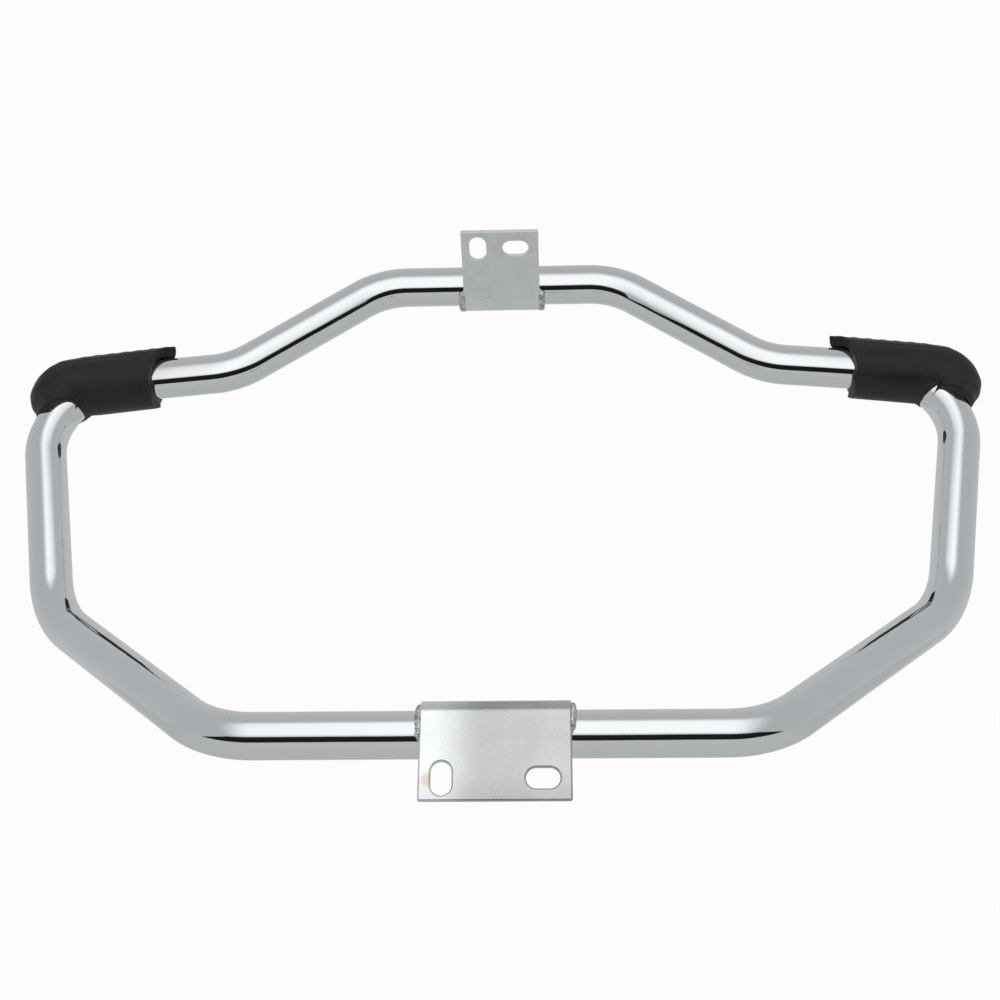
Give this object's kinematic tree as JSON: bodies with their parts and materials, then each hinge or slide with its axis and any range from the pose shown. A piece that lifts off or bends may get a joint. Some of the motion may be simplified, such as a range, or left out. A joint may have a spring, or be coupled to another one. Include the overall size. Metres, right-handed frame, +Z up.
{
  "type": "motorcycle crash bar",
  "caption": "Closed loop of bent chromed tube that guards a motorcycle's engine and legs, with welded slotted mounting brackets and rubber footrest pads on its upper corners.",
  "frame": {"origin": "on the mounting face of the lower bracket, midway between its two slots", "axes": "X to the right as seen from the saddle, Y forward away from the motorcycle's frame, Z up along the loop's main plane"},
  "size_m": [0.7634, 0.1368, 0.4772],
  "materials": {
    "chromed_tube": "mirror-bright chrome plating over polished tube",
    "plated_sheet": "satin plating over pressed sheet",
    "weld_metal": "weld beads plated over, dulled by heat",
    "black_rubber": "moulded matt black rubber"
  },
  "bodies": {
    "root": {"guard_tube": "chromed_tube", "closing_weld": "weld_metal", "upper_bracket": "plated_sheet", "lower_bracket": "plated_sheet", "upper_left_weld": "weld_metal", "upper_right_weld": "weld_metal", "lower_left_weld": "weld_metal", "lower_right_weld": "weld_metal", "left_pad": "black_rubber", "right_pad": "black_rubber"}
  },
  "joints": []
}
